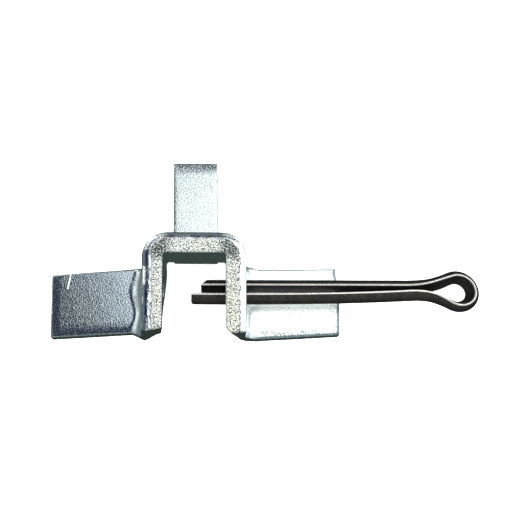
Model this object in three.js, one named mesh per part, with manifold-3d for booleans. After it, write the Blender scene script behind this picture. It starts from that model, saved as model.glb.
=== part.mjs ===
// Trailer coupler lock: a saddle bracket formed from one piece of thick steel plate, and a split pin
// that goes through a hole in each of its legs. All sizes are in millimetres, and +Z is up.
//
// The bracket lies on the backs of its tabs. X runs across the saddle and along the pin, Y runs up the
// top tab, and Z is the depth of the saddle. While the pieces are being made, x = 0 is the middle of
// the saddle, y = 0 is the outer face of its web and z = 0 is the plane of the backs of the tabs.

import * as THREE from 'three';
import { mergeVertices } from 'three/addons/utils/BufferGeometryUtils.js';
import Module from 'manifold-3d';

// ---- Driving dimensions -----------------------------------------------------------------------

const PLATE = 6.35;                 // quarter-inch plate
const GAP = 19.05;                  // between the legs
const LEG = 30.6;                   // web's outer face to the leg ends
const DEPTH = 28.6;                 // backs of the tabs to the front edge
const SADDLE_INNER_R = 0.8;
const SADDLE_OUTER_R = 7.65;
const CORNER_EDGE = 7.9;            // height of the saddle's back edge where it has no tab
const TAB_OUTER_R = 6;
const SIDE_FILLET_R = 3.9;          // hollow between a side tab and its leg
const TOP_FILLET_R = 1.8;
const ROOT_DEPTH = 11;              // how far the tab roots run up into the saddle

const TOP_TAB_WIDTH = 14.3;
const TOP_TAB_REACH = 26.6;
const TOP_TAB_LEAN = 0.43;          // sideways shift of its end

const SIDE_TAB_TOP = 8.2;           // below the web's outer face
const LEFT_TAB_REACH = 45.6;        // middle of the saddle to the end of the tab
const LEFT_TAB_TOP_DROP = 0.079;    // the left tab's two edges drop towards its end
const LEFT_TAB_BOTTOM_DROP = 0.062;
const LEFT_TAB_HEIGHT = 20.55;      // at its root
const LEFT_NOTCH_X = 20.7;          // where the hollow under the left tab's root is highest
const RIGHT_TAB_REACH = 45.9;
const RIGHT_TAB_TOP_RISE = 0.02;    // the right tab's two edges rise towards its end
const RIGHT_TAB_BOTTOM_RISE = 0.058;
const RIGHT_TAB_END_CUT = 1.2;      // its end leans in by this much, above the knee
const RIGHT_TAB_END_KNEE = 18.8;    // below the web's outer face

const LEFT_END_RISE_FRONT = 1.5;    // the left leg's end slopes up by this much to its inner edge
const LEFT_END_RISE_BACK = 2.3;
const RIGHT_CORNER_R_FRONT = 2.6;   // worn inner corner of the right leg's end
const RIGHT_CORNER_R_BACK = 6;

const HOLE_R = 4.76;                // three-eighths of an inch across
const HOLE_DROP = 16.7;             // below the web's outer face
const HOLE_HEIGHT = 16.2;           // above the backs of the tabs

const WIRE_HALF_WIDTH = 2.45;       // of the flat side of the wire
const WIRE_THICKNESS = 3.05;
const LONG_TIP = -1.05;             // x of the longer prong's tip
const SHORT_TIP = 1.9;
const THROAT = 66;                  // x where the prongs start to open into the eye
const TIP_FLATS = [-0.9, 1.1];      // how far each flat face lies from the pin's axis at the tips: the
                                    // longer prong's, then the shorter's
const PARALLEL_X = 20;              // the longer prong is straight from its tip to here
const MIDDLE_X = 48;
const MIDDLE_FLATS = [-0.3, 1.25];
const THROAT_FLATS = [0.58, 1.31];
const SHOULDER = 7.5;               // past the throat
const SHOULDER_FLATS = [0, 2.3];
const EYE_X = 82.26;
const EYE_LIFT = 1.35;              // the eye's centre from the pin's axis
const EYE_INNER_R = 3.95;
const EYE_WRAP = 115;               // degrees of round eye on each side of its far end
const SAG_START = 4;                // past the throat, where the loop starts to bend down
const EYE_SAG = 0.007;              // its drop, per mm squared
const PIN_ROLL = 19;                // degrees the pin is turned about its own axis

const ARC_STEPS = 8;
const EYE_STOPS = 8;                // points on the pin's path round its eye
const WIRE_STEPS = 120;
const OVERCUT = 1;                  // how far a cutting solid stands clear of what it cuts

// ---- Materials ----------------------------------------------------------------------------------

const zincPlate = new THREE.MeshStandardMaterial({ color: 0xc9d2d6, roughness: 0.38, metalness: 0.9 });
const darkSteel = new THREE.MeshStandardMaterial({ color: 0x2b2622, roughness: 0.45, metalness: 0.85 });

// ---- Solids, joined and cut ---------------------------------------------------------------------

const wasm = await Module();
wasm.setup();

function toSolid(geometry) {
  const bare = geometry.clone();
  bare.deleteAttribute('normal');
  bare.deleteAttribute('uv');
  const merged = mergeVertices(bare, 1e-4);
  return new wasm.Manifold(new wasm.Mesh({
    numProp: 3,
    vertProperties: new Float32Array(merged.attributes.position.array),
    triVerts: new Uint32Array(merged.index.array),
  }));
}

function toGeometry(solid) {
  const mesh = solid.getMesh();
  const geometry = new THREE.BufferGeometry();
  geometry.setAttribute('position', new THREE.BufferAttribute(mesh.vertProperties, 3));
  geometry.setIndex(new THREE.BufferAttribute(mesh.triVerts, 1));
  geometry.computeVertexNormals();
  return geometry;
}

// A prism of the shape, standing on the plane z = bottom.
function prism(shape, bottom, top) {
  const geometry = new THREE.ExtrudeGeometry(shape, {
    depth: top - bottom,
    bevelEnabled: false,
    curveSegments: ARC_STEPS,
  });
  return geometry.translate(0, 0, bottom);
}

function polygon(points) {
  return new THREE.Shape(points.map(([x, y]) => new THREE.Vector2(x, y)));
}

// ---- Bracket ------------------------------------------------------------------------------------

const INNER_X = GAP / 2;
const OUTER_X = INNER_X + PLATE;

// The saddle: an upside-down U, seen from the front.
function saddleShape() {
  const shape = new THREE.Shape();
  const outer = SADDLE_OUTER_R;
  const inner = SADDLE_INNER_R;
  shape.moveTo(-OUTER_X, -LEG);
  shape.lineTo(-INNER_X, -LEG);
  shape.lineTo(-INNER_X, -PLATE - inner);
  shape.absarc(-INNER_X + inner, -PLATE - inner, inner, Math.PI, Math.PI / 2, true);
  shape.absarc(INNER_X - inner, -PLATE - inner, inner, Math.PI / 2, 0, true);
  shape.lineTo(INNER_X, -LEG);
  shape.lineTo(OUTER_X, -LEG);
  shape.absarc(OUTER_X - outer, -outer, outer, 0, Math.PI / 2, false);
  shape.absarc(-OUTER_X + outer, -outer, outer, Math.PI / 2, Math.PI, false);
  return shape;
}

// A tab's bent root, seen along the bend. Across is measured from the saddle's inner face outwards,
// and up is the depth of the saddle.
function rootShape(fillet) {
  const shape = new THREE.Shape();
  const flatEnd = PLATE + fillet;
  shape.moveTo(0, ROOT_DEPTH);
  shape.lineTo(0, TAB_OUTER_R);
  shape.absarc(TAB_OUTER_R, TAB_OUTER_R, TAB_OUTER_R, Math.PI, 1.5 * Math.PI, false);
  shape.lineTo(flatEnd, 0);
  shape.lineTo(flatEnd, PLATE);
  shape.absarc(flatEnd, PLATE + fillet, fillet, 1.5 * Math.PI, Math.PI, true);
  shape.lineTo(PLATE, ROOT_DEPTH);
  return shape;
}

// A side tab's root on the right of the saddle, from the y of its bottom to the y of its top.
function sideRoot(bottom, top) {
  const root = prism(rootShape(SIDE_FILLET_R), 0, top - bottom);
  root.rotateX(Math.PI / 2);
  return root.translate(INNER_X, top, 0);
}

function topRoot() {
  const root = prism(rootShape(TOP_FILLET_R), -TOP_TAB_WIDTH / 2, TOP_TAB_WIDTH / 2);
  root.rotateX(Math.PI / 2);
  root.rotateZ(Math.PI / 2);
  return root.translate(0, -PLATE, 0);
}

const ROOT_X = OUTER_X + SIDE_FILLET_R;
const LEFT_TAB_BOTTOM = SIDE_TAB_TOP + LEFT_TAB_HEIGHT;
const LEFT_NOTCH_DROP = LEFT_TAB_BOTTOM + LEFT_TAB_BOTTOM_DROP * (LEFT_NOTCH_X - ROOT_X);

function topTab() {
  const half = TOP_TAB_WIDTH / 2;
  return prism(polygon([
    [-half, 0],
    [half, 0],
    [half - TOP_TAB_LEAN, TOP_TAB_REACH],
    [-half - TOP_TAB_LEAN, TOP_TAB_REACH],
  ]), 0, PLATE);
}

function leftTab() {
  const length = LEFT_TAB_REACH - ROOT_X;
  return prism(polygon([
    [-OUTER_X, -SIDE_TAB_TOP],
    [-ROOT_X, -SIDE_TAB_TOP],
    [-LEFT_TAB_REACH, -SIDE_TAB_TOP - LEFT_TAB_TOP_DROP * length],
    [-LEFT_TAB_REACH, -LEFT_TAB_BOTTOM - LEFT_TAB_BOTTOM_DROP * length],
    [-LEFT_NOTCH_X, -LEFT_NOTCH_DROP],
    [-OUTER_X, -LEG],
  ]), 0, PLATE);
}

function rightTab() {
  const length = RIGHT_TAB_REACH - ROOT_X;
  return prism(polygon([
    [OUTER_X, -LEG],
    [ROOT_X, -LEG],
    [RIGHT_TAB_REACH, -LEG + RIGHT_TAB_BOTTOM_RISE * length],
    [RIGHT_TAB_REACH, -RIGHT_TAB_END_KNEE],
    [RIGHT_TAB_REACH - RIGHT_TAB_END_CUT, -SIDE_TAB_TOP + RIGHT_TAB_TOP_RISE * length],
    [ROOT_X, -SIDE_TAB_TOP],
    [OUTER_X, -SIDE_TAB_TOP],
  ]), 0, PLATE);
}

// A cutting prism whose shape grows towards the back: every point moves away from the pivot, along the
// wanted directions, by the ratio of the sizes at the back and at the front.
function growBack(geometry, pivot, ratio, along) {
  const position = geometry.attributes.position;
  for (let i = 0; i < position.count; i += 1) {
    const share = (DEPTH - position.getZ(i)) / DEPTH;
    const growth = 1 + (ratio - 1) * share;
    const x = pivot[0] + (position.getX(i) - pivot[0]) * (along[0] ? growth : 1);
    const y = pivot[1] + (position.getY(i) - pivot[1]) * (along[1] ? growth : 1);
    position.setXY(i, x, y);
  }
  return geometry;
}

// The slope across the end of the left leg, and the hollow under the root of its tab.
function leftEndCut() {
  const slopeEnd = -INNER_X + OVERCUT;
  const slope = prism(polygon([
    [-OUTER_X, -LEG],
    [-OUTER_X, -LEG - OVERCUT],
    [slopeEnd, -LEG - OVERCUT],
    [slopeEnd, -LEG + LEFT_END_RISE_FRONT * (1 + OVERCUT / PLATE)],
  ]), -OVERCUT, DEPTH + OVERCUT);
  const ratio = LEFT_END_RISE_BACK / LEFT_END_RISE_FRONT;
  return growBack(slope, [-OUTER_X, -LEG], ratio, [false, true]);
}

function leftHollowCut() {
  return prism(polygon([
    [-OUTER_X, -LEG],
    [-LEFT_NOTCH_X, -LEFT_NOTCH_DROP],
    [-LEFT_NOTCH_X, -LEG - OVERCUT],
    [-OUTER_X, -LEG - OVERCUT],
  ]), -OVERCUT, DEPTH + OVERCUT);
}

// The round on the inner corner of the right leg's end.
function rightEndCut() {
  const shape = new THREE.Shape();
  const radius = RIGHT_CORNER_R_FRONT;
  shape.moveTo(INNER_X - OVERCUT, -LEG + radius);
  shape.lineTo(INNER_X - OVERCUT, -LEG - OVERCUT);
  shape.lineTo(INNER_X + radius, -LEG - OVERCUT);
  shape.lineTo(INNER_X + radius, -LEG);
  shape.absarc(INNER_X + radius, -LEG + radius, radius, 1.5 * Math.PI, Math.PI, true);
  const round = prism(shape, -OVERCUT, DEPTH + OVERCUT);
  return growBack(round, [INNER_X, -LEG], RIGHT_CORNER_R_BACK / radius, [true, true]);
}

function pinHoles() {
  const hole = new THREE.CylinderGeometry(HOLE_R, HOLE_R, 2 * (OUTER_X + OVERCUT), 4 * ARC_STEPS);
  hole.rotateZ(Math.PI / 2);
  return hole.translate(0, -HOLE_DROP, HOLE_HEIGHT);
}

function makeBracket() {
  const rightRoot = sideRoot(-LEG, -SIDE_TAB_TOP);
  const leftRoot = sideRoot(-LEG, -SIDE_TAB_TOP).rotateZ(Math.PI);
  leftRoot.translate(0, -LEG - SIDE_TAB_TOP, 0);
  const tabs = [topRoot(), topTab(), rightRoot, rightTab(), leftRoot, leftTab()];
  const cuts = [leftEndCut(), leftHollowCut(), rightEndCut(), pinHoles()];
  let bracket = toSolid(prism(saddleShape(), CORNER_EDGE, DEPTH));
  for (const tab of tabs) bracket = bracket.add(toSolid(tab));
  for (const cut of cuts) bracket = bracket.subtract(toSolid(cut));
  const mesh = new THREE.Mesh(toGeometry(bracket), zincPlate);
  mesh.name = 'coupler_bracket';
  return mesh;
}

// ---- Split pin ------------------------------------------------------------------------------------

// The middle of the wire's flat face, from the longer prong's tip round the eye to the shorter tip.
function wirePath() {
  const shoulderX = THROAT + SHOULDER;
  const eye = [];
  for (let i = 0; i <= EYE_STOPS; i += 1) {
    const angle = THREE.MathUtils.degToRad(EYE_WRAP * (2 * i / EYE_STOPS - 1));
    eye.push([EYE_X + EYE_INNER_R * Math.cos(angle), EYE_LIFT + EYE_INNER_R * Math.sin(angle)]);
  }
  const points = [
    [LONG_TIP, TIP_FLATS[0]],
    [PARALLEL_X, TIP_FLATS[0]],
    [MIDDLE_X, MIDDLE_FLATS[0]],
    [THROAT, THROAT_FLATS[0]],
    [shoulderX, SHOULDER_FLATS[0]],
    ...eye,
    [shoulderX, SHOULDER_FLATS[1]],
    [THROAT, THROAT_FLATS[1]],
    [MIDDLE_X, MIDDLE_FLATS[1]],
    [SHORT_TIP, TIP_FLATS[1]],
  ];
  return new THREE.CatmullRomCurve3(points.map(([x, y]) => new THREE.Vector3(x, y, 0)), false, 'centripetal');
}

// The section: deeper than half a circle, with its flat side facing the inside of the loop.
function wireSection() {
  const shape = new THREE.Shape();
  shape.moveTo(-WIRE_HALF_WIDTH, 0);
  shape.absellipse(0, 0, WIRE_HALF_WIDTH, WIRE_THICKNESS, Math.PI, 2 * Math.PI, false, 0);
  return shape;
}

// Past the throat the loop bends down, away from the plane of the prongs.
function bendEye(geometry) {
  const position = geometry.attributes.position;
  for (let i = 0; i < position.count; i += 1) {
    const past = Math.max(0, position.getX(i) - THROAT - SAG_START);
    const slope = Math.atan(2 * EYE_SAG * past);
    const height = position.getZ(i);
    position.setX(i, position.getX(i) + height * Math.sin(slope));
    position.setZ(i, height * Math.cos(slope) - EYE_SAG * past * past);
  }
  return geometry;
}

function makePin() {
  const wire = new THREE.ExtrudeGeometry(wireSection(), {
    steps: WIRE_STEPS,
    extrudePath: wirePath(),
    curveSegments: ARC_STEPS,
  });
  const mesh = new THREE.Mesh(bendEye(wire), darkSteel);
  mesh.name = 'split_pin';
  mesh.position.set(0, -HOLE_DROP, HOLE_HEIGHT);
  mesh.rotation.x = THREE.MathUtils.degToRad(-PIN_ROLL);
  return mesh;
}

// ---- Assembly -----------------------------------------------------------------------------------

const lock = new THREE.Group();
lock.add(makeBracket(), makePin());

// The origin is the middle of the whole lock's footprint, on the plane it lies on.
const box = new THREE.Box3().setFromObject(lock, true);
const middle = box.getCenter(new THREE.Vector3());
lock.position.set(-middle.x, -middle.y, -box.min.z);
lock.updateMatrixWorld(true);

export default lock;
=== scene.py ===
import math

import bpy
import numpy as np
from mathutils import Matrix, Vector, noise


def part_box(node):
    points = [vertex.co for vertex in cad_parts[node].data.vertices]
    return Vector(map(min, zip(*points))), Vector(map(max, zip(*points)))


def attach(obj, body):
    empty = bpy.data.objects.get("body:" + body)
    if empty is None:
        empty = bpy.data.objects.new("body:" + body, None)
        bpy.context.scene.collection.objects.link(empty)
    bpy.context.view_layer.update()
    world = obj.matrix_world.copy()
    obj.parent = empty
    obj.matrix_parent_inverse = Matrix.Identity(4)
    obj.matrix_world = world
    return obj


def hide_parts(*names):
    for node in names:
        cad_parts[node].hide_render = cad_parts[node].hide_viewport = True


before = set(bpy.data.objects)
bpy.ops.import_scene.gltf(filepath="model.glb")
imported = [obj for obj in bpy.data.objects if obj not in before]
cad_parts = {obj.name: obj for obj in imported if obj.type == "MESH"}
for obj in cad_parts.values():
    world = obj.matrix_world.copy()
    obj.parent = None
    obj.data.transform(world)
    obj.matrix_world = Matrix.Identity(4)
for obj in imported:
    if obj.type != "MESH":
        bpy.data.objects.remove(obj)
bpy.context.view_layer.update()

# Shapes are worked out in millimetres, in the frame the bracket was designed in: x = 0 is the middle
# of the saddle, y = 0 is the outer face of its web and z = 0 is the plane of the backs of the tabs.
# Materials and lights are in metres. Where a comment doesn't say otherwise, a pair of values is where
# something starts and where it is full.

MM = 0.001

# ---- Bracket: driving dimensions, mm ----

PLATE = 6.35
GAP = 19.05                     # between the legs
LEG = 30.6                      # web's outer face to the leg ends
DEPTH = 28.6                    # backs of the tabs to the front edge
SADDLE_INNER_R = 0.8
SADDLE_OUTER_R = 7.65
CORNER_EDGE = 7.9               # height of the saddle's back edge where it has no tab
TAB_OUTER_R = 6.0
FILLET_R = 3.9                  # hollow where a side tab leaves its leg
LEFT_FILLET_MORE = 0.6          # the left one is larger and its edge wanders
LEFT_FILLET_WANDER = 0.75
LEFT_FILLET_WIDEST = 15.5       # below the web's outer face
LEFT_FILLET_WAVE = 13.5
TOP_FILLET_R = 1.8

TOP_TAB_WIDTH = 14.3
TOP_TAB_REACH = 26.6
TOP_TAB_LEAN = 0.43
SIDE_TAB_TOP = 8.2              # below the web's outer face
LEFT_TAB_REACH = 45.6           # middle of the saddle to the end of the tab
LEFT_TAB_TOP_DROP = 0.079       # slopes of the tabs' edges
LEFT_TAB_BOTTOM_DROP = 0.062
LEFT_TAB_HEIGHT = 20.55
LEFT_NOTCH_X = 20.7             # where the leg's end has become the left tab's bottom edge
RIGHT_TAB_REACH = 45.9
RIGHT_TAB_TOP_RISE = 0.02
RIGHT_TAB_BOTTOM_RISE = 0.058
RIGHT_TAB_END_CUT = 1.2
RIGHT_TAB_END_KNEE = 18.8

LEFT_END_RISE_FRONT = 1.5       # the left leg's end slopes up by this much to its inner edge
LEFT_END_RISE_BACK = 2.3
LEFT_END_RISE_PAST = 2          # the slope goes on this far past the leg's inner face
LEFT_CORNER_R = 0.4             # inner corner of each leg's end; the right one is worn
RIGHT_CORNER_R_FRONT = 2.6
RIGHT_CORNER_R_BACK = 6.0

PULL_DEPTHS = (2, 24)           # behind the front edge: the legs' inner faces shift, most at the tabs
END_PULL = 1.1                  # outwards at their ends
END_PULL_DROPS = (9, 30)        # below the web's outer face
LEFT_WEB_PULL = 0.5             # inwards near the web, on the left
LEFT_WEB_PULL_DROPS = (8, 24)

HOLE_R = 4.76
HOLE_DROP = 16.7                # below the web's outer face
HOLE_HEIGHT = 16.2              # above the backs of the tabs
HOLE_EDGE_R = 0.35

# ---- Bracket: how its edges are sheared, rolled and bent, mm ----

ROLL_WIDTH = 2.4                # the plate's outer face rolls over into the sheared front edge
ROLL_DROP = 0.95
ROLL_WAVE = 0.2                 # its width wavers
ROLL_WAVE_X = 0.5               # radians per mm
ROLL_WAVE_Y = 0.3
ROLL_BEND_SIZE = 4.5            # round the saddle's bends it is wider and shallower
ROLL_BEND_WIDER = 0.5
ROLL_BEND_SHALLOWER = 0.55
BURR_R = 0.3                    # on the other face the sheared edge is crisp
LEG_END_EDGE_R = 0.4
BACK_EDGE_R = 0.5
SIDE_TAB_EDGE_R = 0.35
TOP_TAB_END_EDGE_R = 0.4
TAB_TOP_EDGE_R = 0.3
BULGE_EDGE_R = 0.9              # added where the bulge meets the side tab's top edge
INSIDE_CORNER_R = 0.2           # under the side tabs
INSIDE_CORNER_FADE = (3, 8)     # from the saddle's inner face: the leg's worn corner dies out in the tab

SQUEEZE_OUT = 1.2               # bulge inside each tab's bend, past the plate's outer face,
TOP_SQUEEZE_OUT = 1.0
SQUEEZE_UP = 0.6                # and above the tab's front face
SIDE_SQUEEZE_SIZE = 2.6
TOP_SQUEEZE_SIZE = 2.4
STRETCH_OUT = 0.5               # waist outside each tab's bend
STRETCH_UP = 1.5
SIDE_STRETCH_SIZE = 5.0
TOP_STRETCH_SIZE = 4.0
RIGHT_BULGE = 1.0
LEFT_BULGE = 0.35
SIDE_WAIST = 0.8
TOP_BULGE = 0.5
TOP_WAIST = 0.5

BOTTOM_DROOP = (4.3, 0.3)       # width and depth: a tab's face falls away towards its sheared edges
SIDE_END_DROOP = (3.2, 0.22)
RIGHT_TOP_DROOP = (2.0, 0.09)
LEFT_TOP_DROOP = (2.0, 0.027)
TOP_TAB_END_DROOP = (4.0, 0.32)
TOP_TAB_SIDE_DROOP = (1.4, 0.0625)
SIDE_END_DROOP_FROM = (1, 5)    # past the leg's outer face

SHEARED_MARGIN = (-1.0, 0.3)    # a wall's distance against the plate's faces': where a surface is sheared
PUNCHED_MARGIN = (-0.5, 0.3)    # the same for the pin's holes
THINNEST = 0.5                  # mm of plate, when working out how far through it a point is
FRONT_BAND = (-2.6, -1.2)       # from the front edge's plane
RIM_BAND = (-5.0, -0.6)         # from the end or bottom of a tab

SCRATCH_FROM = (-39.6, -10.0, PLATE)    # one long scratch in the left tab's face
SCRATCH_TO = (-40.4, -14.4, PLATE)
TORN_THROUGH = (0.28, 0.5)      # shares of the plate's thickness where the edge starts to be torn
TORN_DEPTH = 0.09
TORN_LEVEL = 0.25               # of the noise above which torn grain is level with the surface
TORN_GRAINS = (1.1, 2.3)        # noise cycles per mm: coarse, and fine with the share below
TORN_FINE_SHARE = 0.6
FACE_WAVE = 0.006
FACE_WAVES = 0.22               # noise cycles per mm
FACE_SUNK = 0.02                # the whole surface, so that nothing stands out of the CAD's box
MESH_PITCH = 0.34
MESH_MARGIN = 2.0

INNER_X = GAP / 2
OUTER_X = INNER_X + PLATE
ROOT_X = OUTER_X + FILLET_R     # where the tabs' straight edges begin
BEND_X = OUTER_X - SADDLE_OUTER_R

# ---- Split pin: driving dimensions, mm ----

WIRE_HALF_WIDTH = 2.45          # of the wire's flat face
WIRE_THICKNESS = 3.05
WIRE_EDGE_R = 0.28              # round on the edges of its flat face
LOWER_LEAN = 11                 # degrees the wire is turned about its own line, in the longer prong
UPPER_LEAN = 6                  # in the shorter prong
EYE_LEAN = 24                   # at the far end of the eye
EYE_LEAN_SWING = 12             # more of it on the eye's lower side, and less on its upper side
LEAN_GROWS = (67, 80)           # x where the turn changes from the prong's to the eye's
PIN_DROP = 0.12                 # the pin hangs this far below the middle of its bores
PIN_ROLL = 19                   # degrees about its own axis

LONG_TIP = -1.05
SHORT_TIP = 1.9
LONG_FLAT = -0.9                # each flat face from the pin's axis, at the tips
SHORT_FLAT = 1.1
LONG_STRAIGHT_TO = 30           # how far each prong runs nearly straight
SHORT_STRAIGHT_TO = 25
NARROWING = 48                  # where the prongs start to close,
LONG_NARROWING = -0.52
SHORT_NARROWING = 1.3
THROAT = 66                     # and where they are closest
LONG_THROAT = 0.58
SHORT_THROAT = 1.31
FLARE = 7                       # past the throat, where they start to part round the eye
LONG_FLARE = 1.05
SHORT_FLARE = 1.45
EYE_X = 82.26
EYE_LIFT = 1.35
EYE_INNER_R = 3.95
EYE_WRAP = 115                  # degrees of round eye on each side of its far end
EYE_EASE = 6                    # the round eye's tangents reach this far into the flares
EYE_SAG = 0.007                 # the eye curves back by this times the square of the distance from its start
EYE_SAG_FROM = 4                # past the throat

TIP_ROUND = 0.3
TIP_ROUND_INTO = 1.6            # how much more the round takes off through the wire than across it
TIP_MIDDLE = 0.42               # of the wire's thickness: what the round closes in on
TIP_TILT = 28                   # degrees: the tips' bevels are cut straight across this tilted direction
TIP_LENGTH = 2                  # of the prong that the bevel can reach
LONG_ROUND = 0.75               # on the top and bottom of the longer tip

# ---- The frame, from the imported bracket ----

bracket_low, bracket_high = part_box("coupler_bracket")
saddle_origin = Vector((
    bracket_low.x + LEFT_TAB_REACH * MM,
    bracket_high.y - TOP_TAB_REACH * MM,
    bracket_low.z,
))


def to_row(points):
    """Millimetres in the design frame to metres in the row's frame."""
    return np.asarray(points) * MM + np.array(saddle_origin)


def make_object(name, vertices, faces, attributes, material):
    """A smooth mesh object from design-frame vertices, with a float attribute per vertex for each name."""
    mesh = bpy.data.meshes.new(name)
    mesh.from_pydata(to_row(vertices).tolist(), [], [tuple(map(int, face)) for face in faces])
    mesh.validate()
    mesh.shade_smooth()
    for key, values in attributes.items():
        layer = mesh.attributes.new(key, "FLOAT", "POINT")
        layer.data.foreach_set("value", np.asarray(values, np.float32))
    mesh.materials.append(material)
    piece = bpy.data.objects.new(name, mesh)
    bpy.context.scene.collection.objects.link(piece)
    return piece


# ---- Bracket shape: distances, negative inside ----

def meet(a, b, radius):
    """Where two half spaces overlap, with the edge between them rounded."""
    past_edge = np.hypot(np.maximum(a + radius, 0), np.maximum(b + radius, 0))
    return np.minimum(np.maximum(a, b), -radius) + past_edge


def ramp(value, low, high):
    """0 below low, 1 above high, smooth between."""
    t = np.clip((value - low) / (high - low), 0, 1)
    return t * t * (3 - 2 * t)


def mound(u, v, size):
    return np.exp(-(u * u + v * v) / size ** 2)


def corner_distance(u, v):
    """To the corner of the quarter where u and v are negative."""
    return np.hypot(np.maximum(u, 0), np.maximum(v, 0)) + np.minimum(np.maximum(u, v), 0)


def blend_to_back(front, back, z):
    """A size that changes evenly from the front edge to the backs of the tabs."""
    return front + (back - front) * np.clip((DEPTH - z) / DEPTH, 0, 1)


def leg_end(x, y, z):
    """Past the ends of the legs. The left one slopes up towards the gap, more so at the tabs."""
    inward = np.clip(OUTER_X - np.abs(x), 0, PLATE + LEFT_END_RISE_PAST)
    rise = blend_to_back(LEFT_END_RISE_FRONT, LEFT_END_RISE_BACK, z)
    return -LEG + np.where(x < 0, rise / PLATE * inward, 0.0) - y


def leg_corner(x, z):
    """Round on the inner corner of a leg's end."""
    return np.where(x > 0, blend_to_back(RIGHT_CORNER_R_FRONT, RIGHT_CORNER_R_BACK, z), LEFT_CORNER_R)


def inner_pull(x, y, z):
    """How far the legs' inner faces draw back, towards the tabs: out at their ends, and the left one in near
    the web."""
    at_end = END_PULL * ramp(-y, *END_PULL_DROPS)
    at_web = LEFT_WEB_PULL * (x < 0) * (1 - ramp(-y, *LEFT_WEB_PULL_DROPS))
    return ramp(DEPTH - z, *PULL_DEPTHS) * (at_end - at_web)


def saddle(x, y, z):
    across = np.abs(x)
    u = across - BEND_X
    v = y + SADDLE_OUTER_R
    outer = corner_distance(u, v) - SADDLE_OUTER_R
    bend = mound(np.maximum(u, 0) - np.maximum(v, 0), np.minimum(np.minimum(u, v), 0), ROLL_BEND_SIZE)
    u = across - INNER_X - inner_pull(x, y, z) + SADDLE_INNER_R
    v = y + PLATE + SADDLE_INNER_R
    inner = SADDLE_INNER_R - corner_distance(u, v)
    front = z - DEPTH
    back = CORNER_EDGE - z
    end = leg_end(x, y, z)
    width = ROLL_WIDTH + ROLL_WAVE * np.sin(ROLL_WAVE_X * x + ROLL_WAVE_Y * y) + ROLL_BEND_WIDER * bend
    drop = ROLL_DROP - ROLL_BEND_SHALLOWER * bend
    rolled = meet(outer / width, front / drop, 1) * drop
    outer_side = np.maximum(meet(rolled, end, LEG_END_EDGE_R), meet(outer, back, BACK_EDGE_R))
    inner_side = meet(meet(meet(inner, end, leg_corner(x, z)), front, BURR_R), back, BURR_R)
    wall = np.maximum(np.maximum(front, back), end)
    return np.maximum(outer_side, inner_side), outer, inner, wall, end


def tab_faces(across, z, pull, fillet):
    """The bent plate's two faces: across is measured from the saddle's inner face outwards."""
    outer = -meet(PLATE - across, PLATE - z, fillet)
    inner = meet(pull - across, -z, TAB_OUTER_R)
    return outer, inner


def bend_marks(across, z, squeeze_out, squeeze_size, stretch_size):
    """Where bending a tab has squeezed the plate out of its edges, and where it has drawn them in."""
    squeezed = mound(across - PLATE - squeeze_out, z - PLATE - SQUEEZE_UP, squeeze_size)
    stretched = mound(across - STRETCH_OUT, z - STRETCH_UP, stretch_size)
    return squeezed, stretched


def droop(distance, width, depth):
    """How far a face has fallen, this far inside a sheared edge."""
    return depth * np.clip(1 + distance / width, 0, 1) ** 2


def side_tab(x, y, z):
    reach = np.abs(x)
    right = x > 0
    across = reach - INNER_X
    out = np.maximum(reach - ROOT_X, 0)
    squeezed, stretched = bend_marks(across, z, SQUEEZE_OUT, SIDE_SQUEEZE_SIZE, SIDE_STRETCH_SIZE)

    top = -SIDE_TAB_TOP + np.where(right, RIGHT_TAB_TOP_RISE, -LEFT_TAB_TOP_DROP) * out
    top = top + np.where(right, RIGHT_BULGE, LEFT_BULGE) * squeezed - SIDE_WAIST * stretched
    left_bottom = -SIDE_TAB_TOP - LEFT_TAB_HEIGHT - LEFT_TAB_BOTTOM_DROP * (reach - ROOT_X)
    notch = ramp(reach, OUTER_X, LEFT_NOTCH_X)
    left_bottom = notch * left_bottom + (1 - notch) * leg_end(x, 0 * y, z) + SIDE_WAIST * stretched
    right_bottom = -LEG + RIGHT_TAB_BOTTOM_RISE * out
    bottom = np.where(right, right_bottom, left_bottom)
    knee = np.maximum(y + RIGHT_TAB_END_KNEE, 0) / (RIGHT_TAB_END_KNEE - SIDE_TAB_TOP)
    above = y - top
    below = bottom - y
    end = reach - np.where(right, RIGHT_TAB_REACH - RIGHT_TAB_END_CUT * knee, LEFT_TAB_REACH)

    wander = np.cos(2 * math.pi * (y + LEFT_FILLET_WIDEST) / LEFT_FILLET_WAVE)
    fillet = FILLET_R + np.where(right, 0.0, LEFT_FILLET_MORE + LEFT_FILLET_WANDER * wander)
    outer, inner = tab_faces(across, z, inner_pull(x, y, z), fillet)
    on_tab = ramp(reach - OUTER_X, *SIDE_END_DROOP_FROM)
    top_droop = np.where(right, droop(above, *RIGHT_TOP_DROOP), droop(above, *LEFT_TOP_DROOP))
    fallen = droop(below, *BOTTOM_DROOP) + on_tab * droop(end, *SIDE_END_DROOP) + top_droop
    worn = leg_corner(x, 0 * z) * (1 - ramp(across, *INSIDE_CORNER_FADE)) * right
    outer_side = meet(outer + fallen, end, SIDE_TAB_EDGE_R)
    outer_side = meet(outer_side, above, TAB_TOP_EDGE_R + BULGE_EDGE_R * squeezed)
    outer_side = meet(outer_side, below, SIDE_TAB_EDGE_R)
    inner_side = meet(meet(meet(inner, below, INSIDE_CORNER_R + worn), end, BURR_R), above, BURR_R)
    wall = np.maximum(np.maximum(above, below), end)
    solid = np.maximum(np.maximum(outer_side, inner_side), z - DEPTH / 2)
    return solid, outer, inner, wall, np.where(right, np.maximum(below, end), -DEPTH)


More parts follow.
